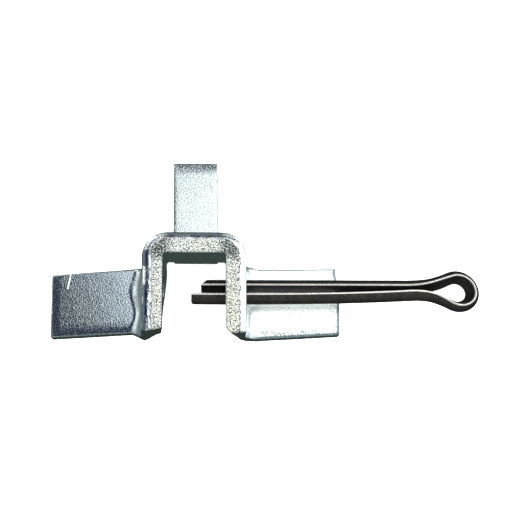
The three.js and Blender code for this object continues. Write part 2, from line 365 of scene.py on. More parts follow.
def top_tab(x, y, z):
    across = y + PLATE
    outer, inner = tab_faces(across, z, 0 * x, TOP_FILLET_R)
    squeezed, stretched = bend_marks(across, z, TOP_SQUEEZE_OUT, TOP_SQUEEZE_SIZE, TOP_STRETCH_SIZE)
    half = TOP_TAB_WIDTH / 2 + TOP_BULGE * squeezed - TOP_WAIST * stretched
    side = np.abs(x + TOP_TAB_LEAN * y / TOP_TAB_REACH) - half
    end = y - TOP_TAB_REACH
    fallen = droop(end, *TOP_TAB_END_DROOP) + droop(side, *TOP_TAB_SIDE_DROOP)
    outer_side = meet(meet(outer + fallen, end, TOP_TAB_END_EDGE_R), side, TAB_TOP_EDGE_R)
    inner_side = meet(meet(inner, end, BURR_R), side, BURR_R)
    wall = np.maximum(side, end)
    solid = np.maximum(np.maximum(outer_side, inner_side), z - DEPTH / 2)
    return solid, outer, inner, wall, end


def bracket_parts(points):
    """For the saddle, the side tabs and the top tab: the distances to the solid, to the plate's outer and
    inner faces, to its sheared edges and to its end. Then the distance to the pin's holes."""
    x, y, z = points[..., 0], points[..., 1], points[..., 2]
    hole = HOLE_R - np.hypot(y + HOLE_DROP, z - HOLE_HEIGHT)
    parts = [saddle(x, y, z), side_tab(x, y, z), top_tab(x, y, z)]
    return parts, hole


def bracket_distance(points):
    parts, hole = bracket_parts(points)
    solid = np.minimum(np.minimum(parts[0][0], parts[1][0]), parts[2][0])
    return meet(solid, hole, HOLE_EDGE_R)


def bracket_finish(points):
    """For each point of the surface: how far it is a sheared edge, how far through the plate it is, whether
    it is on the front of the saddle, and how close it is to the end or bottom of its tab."""
    parts, hole = bracket_parts(points)
    nearest = np.argmin([part[0] for part in parts], axis=0)
    outer, inner, wall, rim = (np.choose(nearest, [part[i] for part in parts]) for i in (1, 2, 3, 4))
    sheared = ramp(wall - np.maximum(outer, inner), *SHEARED_MARGIN)
    punched = ramp(hole - np.maximum(outer, inner), *PUNCHED_MARGIN)
    through = outer / np.minimum(outer + inner, -THINNEST)
    front = ramp(points[..., 2] - DEPTH, *FRONT_BAND)
    return np.maximum(sheared, punched), np.clip(through, 0, 1), front, ramp(rim, *RIM_BAND)


# ---- Surface from distances ----

def surface_net(field):
    """Vertices, in grid steps, and quads of the surface where the field crosses zero."""
    inside = field < 0
    shape = np.array(field.shape)
    cell_lists, point_lists, flips = [], [], []
    for axis in range(3):
        u, v = (axis + 1) % 3, (axis + 2) % 3
        here = [slice(None)] * 3
        there = [slice(None)] * 3
        here[axis] = slice(None, -1)
        there[axis] = slice(1, None)
        crossing = np.argwhere(inside[tuple(here)] != inside[tuple(there)])
        first = field[tuple(here)][tuple(crossing.T)]
        second = field[tuple(there)][tuple(crossing.T)]
        point = crossing.astype(float)
        point[:, axis] += first / (first - second)
        corners = []
        for du, dv in ((-1, -1), (0, -1), (0, 0), (-1, 0)):
            corner = crossing.copy()
            corner[:, u] += du
            corner[:, v] += dv
            corners.append(np.ravel_multi_index(tuple(corner.T), shape))
        cell_lists.append(np.stack(corners, 1))
        point_lists.append(point)
        flips.append(first > 0)
    cells = np.concatenate(cell_lists)
    points = np.concatenate(point_lists)
    flipped = np.concatenate(flips)
    cells[flipped] = cells[flipped][:, ::-1]
    used, quads = np.unique(cells, return_inverse=True)
    quads = quads.reshape(cells.shape)
    total = np.zeros((len(used), 3))
    count = np.zeros(len(used))
    for corner in range(4):
        np.add.at(total, quads[:, corner], points)
        np.add.at(count, quads[:, corner], 1)
    return total / count[:, None], quads


def slope_of(distance, points, step=0.02):
    columns = []
    for axis in range(3):
        offset = np.zeros(3)
        offset[axis] = step
        columns.append((distance(points + offset) - distance(points - offset)) / (2 * step))
    return np.stack(columns, 1)


def settle(distance, points, rounds=4, least_slope=0.5):
    """Moves points onto the surface, along its slope."""
    for _ in range(rounds):
        slope = slope_of(distance, points)
        size = np.maximum((slope ** 2).sum(1), least_slope ** 2)
        points = points - (distance(points) / size)[:, None] * slope
    return points


def noise_at(points, scale, seed):
    shift = Vector([seed * part for part in (17.3, 5.1, 9.7)])
    return np.array([noise.noise(Vector(point) * scale + shift) for point in points])


def bracket_surface():
    low = np.array([-LEFT_TAB_REACH, -LEG, 0]) - MESH_MARGIN
    high = np.array([RIGHT_TAB_REACH, TOP_TAB_REACH, DEPTH]) + MESH_MARGIN
    steps = np.ceil((high - low) / MESH_PITCH).astype(int)
    ys = low[1] + MESH_PITCH * np.arange(steps[1])
    zs = low[2] + MESH_PITCH * np.arange(steps[2])
    slabs = []
    for i in range(steps[0]):
        slab = np.empty((steps[1], steps[2], 3))
        slab[..., 0] = low[0] + MESH_PITCH * i
        slab[..., 1] = ys[:, None]
        slab[..., 2] = zs[None, :]
        slabs.append(bracket_distance(slab).astype(np.float32))
    points, quads = surface_net(np.stack(slabs))
    return settle(bracket_distance, low + MESH_PITCH * points), quads


def run_along(points, least=1e-6):
    """How far along the saddle's outline each point is, from the middle of its web."""
    across = np.abs(points[:, 0])
    turn = np.arctan2(np.maximum(across - BEND_X, 0), np.maximum(points[:, 1] + SADDLE_OUTER_R, least))
    length = np.minimum(across, BEND_X) + PLATE * turn + np.maximum(-SADDLE_OUTER_R - points[:, 1], 0)
    return np.sign(points[:, 0]) * length


def make_bracket(material):
    points, quads = bracket_surface()
    sheared, through, front, rim = bracket_finish(points)
    run = run_along(points)
    slope = slope_of(bracket_distance, points)
    outward = slope / np.linalg.norm(slope, axis=1)[:, None]
    torn = sheared * ramp(through, *TORN_THROUGH)
    coarse, fine = (noise_at(points, scale, seed) for seed, scale in enumerate(TORN_GRAINS, 1))
    grain = coarse + TORN_FINE_SHARE * fine
    waves = noise_at(points, FACE_WAVES, len(TORN_GRAINS) + 1)
    lift = -FACE_SUNK + TORN_DEPTH * torn * (grain - TORN_LEVEL) + FACE_WAVE * waves * (1 - sheared)
    points = points + outward * np.minimum(lift, 0.0)[:, None]
    attributes = {"sheared": sheared, "through": through, "front": front, "rim": rim, "run": run}
    return make_object("coupler_bracket_plate", points, quads, attributes, material)


# ---- Split pin ----

FLARE_STEPS = 26                # stations along the wire
PRONG_STEPS = 90
EYE_STEPS = 64
FLAT_STEPS = 7                  # points of the wire's outline
EDGE_STEPS = 6
BACK_STEPS = 22
FLAT_SHARE = 0.85               # of the flat face that has points, between its rounded edges
TIP_STATIONS = (0.0, 0.05, 0.14, 0.3, 0.5, 0.75, 1.0, 1.3, 1.6)     # closer together at each tip


def bezier(a, b, c, d, steps):
    t = np.linspace(0, 1, steps, endpoint=False)[:, None]
    a, b, c, d = map(np.array, (a, b, c, d))
    return (1 - t) ** 3 * a + 3 * t * (1 - t) ** 2 * b + 3 * t * t * (1 - t) * c + t ** 3 * d


def arc(centre, radii, start, end, steps):
    """Points on an ellipse."""
    angles = np.linspace(start, end, steps)
    return [
        (centre[0] + radii[0] * math.cos(angle), centre[1] + radii[1] * math.sin(angle))
        for angle in angles
    ]


def wire_line():
    """The middle of the wire's flat face, from the longer prong's tip round the eye to the shorter tip."""
    wrap = math.radians(EYE_WRAP)
    eye = np.array(arc((EYE_X, EYE_LIFT), (EYE_INNER_R, EYE_INNER_R), -wrap, wrap, EYE_STEPS))
    ease_x, ease_y = EYE_EASE * math.sin(wrap), EYE_EASE * math.cos(wrap)
    lower = bezier(
        (LONG_TIP, LONG_FLAT), (LONG_STRAIGHT_TO, LONG_FLAT), (NARROWING, LONG_NARROWING),
        (THROAT, LONG_THROAT),
        PRONG_STEPS,
    )
    lower_flare = bezier(
        (THROAT, LONG_THROAT), (THROAT + FLARE, LONG_FLARE), eye[0] - (ease_x, ease_y), eye[0],
        FLARE_STEPS,
    )
    upper_flare = bezier(
        eye[-1], eye[-1] + (-ease_x, ease_y), (THROAT + FLARE, SHORT_FLARE), (THROAT, SHORT_THROAT),
        FLARE_STEPS,
    )
    upper = bezier(
        (THROAT, SHORT_THROAT), (NARROWING, SHORT_NARROWING), (SHORT_STRAIGHT_TO, SHORT_FLAT),
        (SHORT_TIP, SHORT_FLAT),
        PRONG_STEPS,
    )
    return np.concatenate([lower, lower_flare, eye[:-1], upper_flare, upper, [(SHORT_TIP, SHORT_FLAT)]])


def wire_section():
    """The outline, as (across, inwards) pairs, and how far each is on an edge of the flat face."""
    edge = WIRE_EDGE_R
    edge_x = math.sqrt((WIRE_HALF_WIDTH - edge) ** 2 - edge ** 2)
    tilt = math.atan2(edge, edge_x)
    flat = [(across, 0.0) for across in np.linspace(-FLAT_SHARE, FLAT_SHARE, FLAT_STEPS) * edge_x]
    right_edge = arc((edge_x, -edge), (edge, edge), math.pi / 2, -tilt, EDGE_STEPS)
    back = arc((0, 0), (WIRE_HALF_WIDTH, WIRE_THICKNESS), -tilt, -math.pi + tilt, BACK_STEPS)[1:-1]
    left_edge = arc((-edge_x, -edge), (edge, edge), math.pi + tilt, math.pi / 2, EDGE_STEPS)
    worn = [0.0] * len(flat) + [1.0] * EDGE_STEPS + [0.0] * len(back) + [1.0] * EDGE_STEPS
    return np.array(flat + right_edge + back + left_edge), np.array(worn)


def add_tips(line):
    """Closer stations at the tip of each prong, and how far every station is from the two tips."""
    steps = np.array(TIP_STATIONS)
    lower = np.stack([LONG_TIP + steps, 0 * steps + LONG_FLAT], 1)
    upper = np.stack([SHORT_TIP + steps[::-1], 0 * steps + SHORT_FLAT], 1)
    past_short = line[:, 0] > SHORT_TIP + TIP_LENGTH
    past_long = (line[:, 1] < 0) & (line[:, 0] > LONG_TIP + TIP_LENGTH)
    line = np.concatenate([lower, line[past_short | past_long], upper])
    from_long = np.where(line[:, 1] < 0, line[:, 0] - LONG_TIP, THROAT)
    from_short = np.where(line[:, 1] > 0, line[:, 0] - SHORT_TIP, THROAT)
    return line, from_long, from_short


def round_tips(across, into, from_tip):
    """Closes the outline in towards its middle over the last of each prong."""
    share = np.minimum(from_tip / TIP_ROUND, 1)
    inset = TIP_ROUND * (1 - np.sqrt(2 * share - share ** 2))[:, None]
    middle = -TIP_MIDDLE * WIRE_THICKNESS
    across = across * (1 - inset / WIRE_HALF_WIDTH)
    into = middle + (into - middle) * (1 - inset / WIRE_THICKNESS * TIP_ROUND_INTO)
    return across, into


def bevel_tips(across, into, from_long, from_short):
    """Cuts the shorter tip on a slant, and takes the corners off the longer one."""
    on_short = (from_short < THROAT)[:, None]
    tilt = math.radians(TIP_TILT)
    up_across = -math.sin(tilt)
    up_into = np.where(on_short, -math.cos(tilt), math.cos(tilt))
    height = across * up_across + into * up_into
    corner = np.maximum(LONG_ROUND - from_long, 0)[:, None]
    edge_height = -WIRE_HALF_WIDTH * up_across
    lowest = -np.hypot(WIRE_HALF_WIDTH * up_across, WIRE_THICKNESS * up_into)
    top = edge_height + np.where(on_short, from_short[:, None], -corner)
    bottom = lowest + np.where(on_short, 0, corner)
    moved = np.clip(height, bottom, top) - height
    moved[np.minimum(from_long, from_short) > TIP_LENGTH] = 0
    return across + moved * up_across, into + moved * up_into


def lean_wire(across, into, line):
    """Turns the outline about the wire's own line."""
    on_lower = np.arange(len(line)) < np.argmax(line[:, 0])
    in_eye = ramp(line[:, 0], *LEAN_GROWS)
    from_eye = line - (EYE_X, EYE_LIFT)
    eye_lean = EYE_LEAN - EYE_LEAN_SWING * from_eye[:, 1] / np.linalg.norm(from_eye, axis=1)
    lean = np.where(on_lower, LOWER_LEAN, UPPER_LEAN) * (1 - in_eye) + eye_lean * in_eye
    lean = np.radians(lean)[:, None]
    leaned_across = across * np.cos(lean) - into * np.sin(lean)
    leaned_into = across * np.sin(lean) + into * np.cos(lean)
    return leaned_across, leaned_into


def place_pin(points):
    """Curves the eye back, rolls the pin about its axis and hangs it in its bores."""
    past = np.maximum(points[:, 0] - THROAT - EYE_SAG_FROM, 0)
    slope = np.arctan(2 * EYE_SAG * past)
    x = points[:, 0] + points[:, 2] * np.sin(slope)
    forwards = points[:, 2] * np.cos(slope) - EYE_SAG * past ** 2
    roll = math.radians(-PIN_ROLL)
    y = points[:, 1] * math.cos(roll) - forwards * math.sin(roll)
    z = points[:, 1] * math.sin(roll) + forwards * math.cos(roll)
    return np.stack([x, y - HOLE_DROP - PIN_DROP, z + HOLE_HEIGHT], 1)


def tube_faces(rings, sides):
    faces = []
    for ring in range(rings - 1):
        for side in range(sides):
            a = ring * sides + side
            b = ring * sides + (side + 1) % sides
            faces.append((a, b, b + sides, a + sides))
    faces.append(tuple(range(sides))[::-1])
    faces.append(tuple(range((rings - 1) * sides, rings * sides)))
    return faces


def make_pin(material):
    line, from_long, from_short = add_tips(wire_line())
    section, worn = wire_section()
    stations, sides = len(line), len(section)
    across = np.tile(section[:, 0], (stations, 1))
    into = np.tile(section[:, 1], (stations, 1))
    across, into = round_tips(across, into, np.minimum(from_long, from_short))
    across, into = bevel_tips(across, into, from_long, from_short)
    across, into = lean_wire(across, into, line)

    direction = np.gradient(line, axis=0)
    direction /= np.linalg.norm(direction, axis=1)[:, None]
    inward = np.stack([-direction[:, 1], direction[:, 0]], 1)
    rings = np.zeros((stations, sides, 3))
    rings[..., :2] = line[:, None] + inward[:, None] * into[..., None]
    rings[..., 2] = -across
    lengths = np.concatenate([[0], np.cumsum(np.linalg.norm(np.diff(line, axis=0), axis=1))])
    attributes = {
        "worn": np.tile(worn, stations),
        "along": np.repeat(lengths, sides),
        "around": np.tile(np.arange(sides) / sides, stations),
    }
    points = place_pin(rings.reshape(-1, 3))
    return make_object("split_pin_wire", points, tube_faces(stations, sides), attributes, material)


# ---- Node helpers ----

def new_material(name):
    material = bpy.data.materials.new(name)
    material.use_nodes = True
    tree = material.node_tree
    return material, tree, tree.nodes["Principled BSDF"]


def connect(tree, source, socket):
    """Links a socket to the source, or sets it where the source is a number."""
    if isinstance(source, (int, float)):
        socket.default_value = source
    else:
        tree.links.new(source, socket)


def math_node(tree, operation, *sources, clamp=False):
    node = tree.nodes.new("ShaderNodeMath")
    node.operation = operation
    node.use_clamp = clamp
    for socket, source in zip(node.inputs, sources):
        connect(tree, source, socket)
    return node.outputs[0]


def times(tree, first, second):
    return math_node(tree, "MULTIPLY", first, second)


def add_scaled(tree, value, scale, base):
    """The base plus the value times the scale."""
    return math_node(tree, "MULTIPLY_ADD", value, scale, base)


def attribute(tree, name):
    node = tree.nodes.new("ShaderNodeAttribute")
    node.attribute_name = name
    return node.outputs["Fac"]


def place(tree):
    return tree.nodes.new("ShaderNodeTexCoord").outputs["Object"]


def separate(tree, vector):
    node = tree.nodes.new("ShaderNodeSeparateXYZ")
    tree.links.new(vector, node.inputs[0])
    return node.outputs


def combine(tree, x, y):
    node = tree.nodes.new("ShaderNodeCombineXYZ")
    connect(tree, x, node.inputs["X"])
    connect(tree, y, node.inputs["Y"])
    return node.outputs[0]


def noise_node(tree, vector, size, detail=2.0, rough=0.5):
    """Noise with features about this size, in the vector's own unit."""
    node = tree.nodes.new("ShaderNodeTexNoise")
    node.inputs["Scale"].default_value = 1 / size
    node.inputs["Detail"].default_value = detail
    node.inputs["Roughness"].default_value = rough
    tree.links.new(vector, node.inputs["Vector"])
    return node.outputs["Fac"]


def step_node(tree, source, low, high, out_low=0.0, out_high=1.0):
    node = tree.nodes.new("ShaderNodeMapRange")
    node.interpolation_type = "SMOOTHSTEP"
    tree.links.new(source, node.inputs["Value"])
    node.inputs["From Min"].default_value = low
    node.inputs["From Max"].default_value = high
    node.inputs["To Min"].default_value = out_low
    node.inputs["To Max"].default_value = out_high
    return node.outputs["Result"]


def band_node(tree, source, middle, outer, inner):
    """1 within the inner distance of the middle, and 0 past the outer distance."""
    off = math_node(tree, "SUBTRACT", source, middle)
    return step_node(tree, math_node(tree, "ABSOLUTE", off), outer, inner)


def blend_colours(tree, share, first, second):
    node = tree.nodes.new("ShaderNodeMix")
    node.data_type = "RGBA"
    tree.links.new(share, node.inputs["Factor"])
    colour_sockets = [socket for socket in node.inputs if socket.type == "RGBA"]
    for socket, source in zip(colour_sockets, (first, second)):
        if isinstance(source, tuple):
            socket.default_value = (*source, 1)
        else:
            tree.links.new(source, socket)
    return [output for output in node.outputs if output.type == "RGBA"][0]


def blend_values(tree, share, first, second):
    """first where share is 0, second where it is 1."""
    gap = math_node(tree, "SUBTRACT", second, first)
    return add_scaled(tree, gap, share, first)


def bump(tree, height, distance, below=None):
    node = tree.nodes.new("ShaderNodeBump")
    node.inputs["Distance"].default_value = distance
    tree.links.new(height, node.inputs["Height"])
    if below is not None:
        tree.links.new(below, node.inputs["Normal"])
    return node.outputs["Normal"]


# ---- Zinc: places and sizes in metres, except along and across the front edge, which are in mm ----

NOISE_MIDDLE = 0.5

ZINC_BLUE = (0.80, 0.88, 0.92)
ZINC_WARM = (0.84, 0.90, 0.87)
TINT_SIZE = 0.03
ZINC_TINTS = (0.4, 0.62)
SPARKLE_SIZE = 0.00045
PICKLE_SIZE = 0.0014
PICKLE_RANGE = (0.3, 0.7)
CRUMBLE_SIZE = 0.00038

DROSS_COLOUR = (0.10, 0.13, 0.17)
DROSS_SIZE = 0.0004
DROSS_FLECKS = (0.42, 0.28)
RIM_DROSS = 0.12                # more flecks near the end of a tab
CLOUD_SIZE = 0.011              # the flecks' strength varies in clouds
CLOUD_RANGE = (0.35, 0.65)
CLOUD_SHARES = (0.4, 0.9)

SCRATCH_COLOUR = (0.95, 1.0, 0.88)
SCRATCH_HALF_WIDTH = (0.00022, 0.00010)
SCRATCH_START_FADE = 0.0008
SCRATCH_END_FADE = 0.0005
SCRATCH_DEPTHS = (0.0012, 0.0008)       # below the tab's face, so that its edge isn't scratched
SCRATCH_ROUGHNESS = 0.6
SCRATCH_DULL = 0.4

TORN_WARM = (0.98, 0.96, 0.85)
TORN_COOL = (0.94, 0.98, 0.95)
TORN_TINTS = (0.35, 0.6)
TORN_STAIN = (0.55, 0.58, 0.52)
TORN_STAIN_SHARE = 0.35
PIT_COLOUR = (0.05, 0.06, 0.06)
PITS = (0.51, 0.445)
CRUSHED_FROM = BEND_X + 5       # mm along from the middle of the web
CRUSHED_REACH = (8.0, 2.0)
CRUSHED_PITS = 0.11
RAGGED_SIZE = 0.002             # the line where the edge starts to be torn wanders
RAGGED_AMOUNT = 0.24
LEFT_LEG_FROM = (-15.0, -19.0)
LEFT_LEG_LOWER = 0.17           # of the plate's thickness: it starts deeper on the left leg
TORN_FROM = (0.42, 0.5)
TORN_ROUGHNESS = 0.40
TORN_DULL = 0.15

BURNISH_DULL = (0.76, 0.82, 0.88)
BURNISH_BRIGHT = (0.97, 0.99, 0.99)
SCORE_SIZE = 0.7
SCORE_THICKNESS = 0.6           # what the plate's whole thickness counts as: the scores run across the edge
SCORE_RANGE = (0.35, 0.55)
# painted reflection: the navy that the rolled strip would mirror from the dark room
NAVY = (0.15, 0.18, 0.24)
SWAY_SIZE = 2.5                 # the painted reflection bands' ends and sides sway
SWAY_ALONG = 3.0
SWAY_THROUGH = 0.30
WEB_HALF_LENGTH = (9.5, 8.0)
WEB_BAND = (0.25, 0.19)         # shares of the plate's thickness
WEB_BAND_SHARE = 0.8
LEFT_BAND_FROM = (-15.5, -16.8)
LEFT_BAND_MIDDLE = 0.16
LEFT_BAND_WIDTH = (0.12, 0.08)  # on each side of its middle, as for the gap and the line below
LEFT_GAP_AT = -24.0             # a white patch interrupts the left band
LEFT_GAP_WIDTH = (3.2, 2.4)
RIGHT_LINE_COLOUR = (0.10, 0.12, 0.15)
RIGHT_LINE_FROM = (15.0, 19.0)
RIGHT_LINE_AT = 0.45            # share of the thickness, moved by the ragged line's wandering
RIGHT_LINE_WIDTH = (0.06, 0.02)
RIGHT_LINE_BREAKS = (0.62, 0.5)
# painted shade: a thin dark line where the front edge meets the plate's outer face
OUTLINE_COLOUR = (0.12, 0.15, 0.16)
OUTLINE_WIDTH = (0.05, 0.015)

CUT_DARK = (0.23, 0.29, 0.31)   # sheared edges that aren't on the front
CUT_LIGHT = (0.66, 0.74, 0.74)
CUT_MOTTLE = (0.53, 0.64)
RIGHT_RIM_COLOUR = (0.13, 0.16, 0.17)
RIGHT_RIM_LIMITS = (0.972, 0.988)       # shares, where 1 is the very edge
RIGHT_RIM_RAGGED = 0.06
RIGHT_RIM_FROM = (0.002, 0.006) # past the right leg's outer face

MILKY_FROM = (-0.01, 0.0)       # x in the row's frame: the right tab's zinc is milky
MILKY_SHARE = 0.42
FACE_ROUGHNESS = (0.13, 0.17)
GRAIN_PICKLE = 0.15
GRAIN_RIM = 1.5                 # coarser near the end of a tab
GRAIN_DEPTH = 0.000038
SCORE_DEPTH = 0.00003
RUBBLE_DEPTH = 0.00015


def zinc_face(tree, here, tint, rim):
    """Bright zinc with dark flecks of dross."""
    face = blend_colours(tree, step_node(tree, tint, *ZINC_TINTS), ZINC_BLUE, ZINC_WARM)
    dross = add_scaled(tree, rim, -RIM_DROSS, noise_node(tree, here, DROSS_SIZE, detail=1.0))
    cloud = noise_node(tree, here, CLOUD_SIZE, detail=3.0)
    strength = step_node(tree, cloud, *CLOUD_RANGE, *CLOUD_SHARES)
    flecks = times(tree, step_node(tree, dross, *DROSS_FLECKS), strength)
    return blend_colours(tree, flecks, face, DROSS_COLOUR)


def scratch_share(tree, sides):
    """1 on the long scratch near the end of the left tab."""
    start_x, start_y, _ = (float(value) for value in to_row(SCRATCH_FROM))
    end_x, end_y, face_z = (float(value) for value in to_row(SCRATCH_TO))
    slant = (end_x - start_x) / (end_y - start_y)
    beside = add_scaled(tree, sides["Y"], -slant, sides["X"])
    share = band_node(tree, beside, start_x - slant * start_y, *SCRATCH_HALF_WIDTH)
    limits = (
        ("Y", start_y + SCRATCH_START_FADE, start_y),
        ("Y", end_y - SCRATCH_END_FADE, end_y),
        ("Z", *(face_z - depth for depth in SCRATCH_DEPTHS)),
    )
    for axis, low, high in limits:
        share = times(tree, share, step_node(tree, sides[axis], low, high))
    return share


def right_rim(tree, sides, crumble, rim):
    """1 where the right tab's end and bottom roll over."""
    leg_face = float(to_row((OUTER_X, 0, 0))[0])
    on_right = step_node(tree, sides["X"], *(leg_face + distance for distance in RIGHT_RIM_FROM))
    ragged = math_node(tree, "SUBTRACT", crumble, NOISE_MIDDLE)
    rolled = add_scaled(tree, ragged, RIGHT_RIM_RAGGED, rim)
    return times(tree, step_node(tree, rolled, *RIGHT_RIM_LIMITS), on_right)


def torn_colour(tree, run, tint, pickle, crumble):
    """Cream and pitted, and darker where the saddle's bends crush it."""
    crushed = band_node(tree, math_node(tree, "ABSOLUTE", run), CRUSHED_FROM, *CRUSHED_REACH)
    pits = step_node(tree, add_scaled(tree, crushed, -CRUSHED_PITS, crumble), *PITS)
    cream = blend_colours(tree, step_node(tree, tint, *TORN_TINTS), TORN_WARM, TORN_COOL)
    stain = step_node(tree, pickle, *PICKLE_RANGE, TORN_STAIN_SHARE, 0.0)
    cream = blend_colours(tree, stain, cream, TORN_STAIN)
    return blend_colours(tree, pits, cream, PIT_COLOUR)


def navy_share(tree, along, through):
    """Painted reflection: navy where the polished strip would mirror the dark of the room, on the web, and on
    the left leg save a gap.
    """
    web = band_node(tree, along, 0.0, *WEB_HALF_LENGTH)
    web_band = step_node(tree, through, *WEB_BAND, 0.0, WEB_BAND_SHARE)
    gap = band_node(tree, along, LEFT_GAP_AT, *LEFT_GAP_WIDTH)
    left = math_node(tree, "SUBTRACT", step_node(tree, along, *LEFT_BAND_FROM), gap, clamp=True)
    left_band = band_node(tree, through, LEFT_BAND_MIDDLE, *LEFT_BAND_WIDTH)
    return math_node(tree, "MULTIPLY_ADD", left, left_band, times(tree, web, web_band), clamp=True)


def zinc_material():
    """Bright zinc over hot-rolled plate: sparkling faces, dark cut edges, and a front edge that is part
    polished, part torn."""
    material, tree, shader = new_material("zinc_plate")
    here = place(tree)
    sides = separate(tree, here)
    sheared, through, front, rim, run = (
        attribute(tree, name) for name in ("sheared", "through", "front", "rim", "run")
    )
    sparkle = noise_node(tree, here, SPARKLE_SIZE, detail=1.0, rough=0.6)
    pickle = noise_node(tree, here, PICKLE_SIZE, rough=0.6)
    tint = noise_node(tree, here, TINT_SIZE)
    crumble = noise_node(tree, here, CRUMBLE_SIZE, rough=0.65)

    # The front edge is torn from the ragged line on.
    ragged = add_scaled(tree, noise_node(tree, here, RAGGED_SIZE), RAGGED_AMOUNT, through)
    ragged = add_scaled(tree, step_node(tree, run, *LEFT_LEG_FROM), -LEFT_LEG_LOWER, ragged)
    torn = times(tree, step_node(tree, ragged, *TORN_FROM), times(tree, sheared, front))

    # The polished strip beside it is rolled over: a painted navy reflection of the dark room in places, white
    # in others.
    strip = combine(tree, run, times(tree, through, PLATE))
    sway = math_node(tree, "SUBTRACT", noise_node(tree, strip, SWAY_SIZE), NOISE_MIDDLE)
    along = add_scaled(tree, sway, SWAY_ALONG, run)
    navy = navy_share(tree, along, add_scaled(tree, sway, SWAY_THROUGH, through))
    strip = combine(tree, run, times(tree, through, SCORE_THICKNESS))
    score = noise_node(tree, strip, SCORE_SIZE, detail=3.0, rough=0.6)
    edge = blend_colours(tree, step_node(tree, score, *SCORE_RANGE), BURNISH_DULL, BURNISH_BRIGHT)
    edge = blend_colours(tree, navy, edge, NAVY)
    edge = blend_colours(tree, torn, edge, torn_colour(tree, run, tint, pickle, crumble))

    # On the right leg a broken line parts the two, and all the way round there is a thin painted shade line
    # where the front edge meets the plate's outer face.
    line = band_node(tree, ragged, RIGHT_LINE_AT, *RIGHT_LINE_WIDTH)
    line = times(tree, line, step_node(tree, crumble, *RIGHT_LINE_BREAKS))
    line = times(tree, line, step_node(tree, along, *RIGHT_LINE_FROM))
    edge = blend_colours(tree, line, edge, RIGHT_LINE_COLOUR)
    outline = times(tree, step_node(tree, through, *OUTLINE_WIDTH), front)
    edge = blend_colours(tree, outline, edge, OUTLINE_COLOUR)
    cut = blend_colours(tree, step_node(tree, crumble, *CUT_MOTTLE), CUT_DARK, CUT_LIGHT)
    edge = blend_colours(tree, front, cut, edge)

    scratch = scratch_share(tree, sides)
    face = blend_colours(tree, scratch, zinc_face(tree, here, tint, rim), SCRATCH_COLOUR)
    face = blend_colours(tree, right_rim(tree, sides, crumble, rim), face, RIGHT_RIM_COLOUR)
    colour = blend_colours(tree, sheared, face, edge)
    tree.links.new(colour, shader.inputs["Base Color"])

    rough = step_node(tree, pickle, *PICKLE_RANGE, *FACE_ROUGHNESS)
    rough = blend_values(tree, torn, rough, TORN_ROUGHNESS)
    rough = blend_values(tree, scratch, rough, SCRATCH_ROUGHNESS)
    tree.links.new(rough, shader.inputs["Roughness"])
    milky = step_node(tree, sides["X"], *MILKY_FROM, 0.0, MILKY_SHARE)
    dull = times(tree, milky, math_node(tree, "SUBTRACT", 1.0, sheared))
    dull = math_node(tree, "MAXIMUM", dull, times(tree, torn, TORN_DULL))
    dull = math_node(tree, "MAXIMUM", dull, times(tree, scratch, SCRATCH_DULL))
    tree.links.new(math_node(tree, "SUBTRACT", 1.0, dull), shader.inputs["Metallic"])

    grain = add_scaled(tree, pickle, GRAIN_PICKLE, sparkle)
    grain = times(tree, grain, add_scaled(tree, rim, GRAIN_RIM, 1.0))
    normal = bump(tree, grain, GRAIN_DEPTH)
    normal = bump(tree, times(tree, score, sheared), SCORE_DEPTH, normal)
    normal = bump(tree, times(tree, crumble, torn), RUBBLE_DEPTH, normal)
    tree.links.new(normal, shader.inputs["Normal"])
    return material


# ---- Steel: sizes in metres ----

STEEL_DARK = (0.042, 0.041, 0.038)
STEEL_BROWN = (0.060, 0.049, 0.043)
RUST_SIZE = 0.004
RUST_PATCHES = (0.42, 0.62)
DRAWN_COLOUR = (0.11, 0.103, 0.095)
DRAWN_SIZE = 0.03               # of the way round the wire
DRAWN_STRETCH = 0.03            # 1 mm along counts as this much of the way round
DRAWN_LINES = (0.5, 0.75)
DRAWN_RANGE = (0.3, 0.7)
# partly rubbed metal, partly a painted highlight along the flat face's edges
RUBBED_COLOUR = (0.86, 0.82, 0.78)
RUBBED_EDGE = (0.35, 0.7)
RUBBED_PATCH_SIZE = 0.0018
RUBBED_PATCHES = (0.3, 0.45)
RUBBED_LEAST = 0.75
STEEL_METALLIC = 0.93
STEEL_ROUGHNESS = (0.3, 0.42)
RUBBED_ROUGHNESS = 0.26
DRAWN_DEPTH = 0.00004
PITTING_SIZE = 0.0007
PITTING_DEPTH = 0.00003


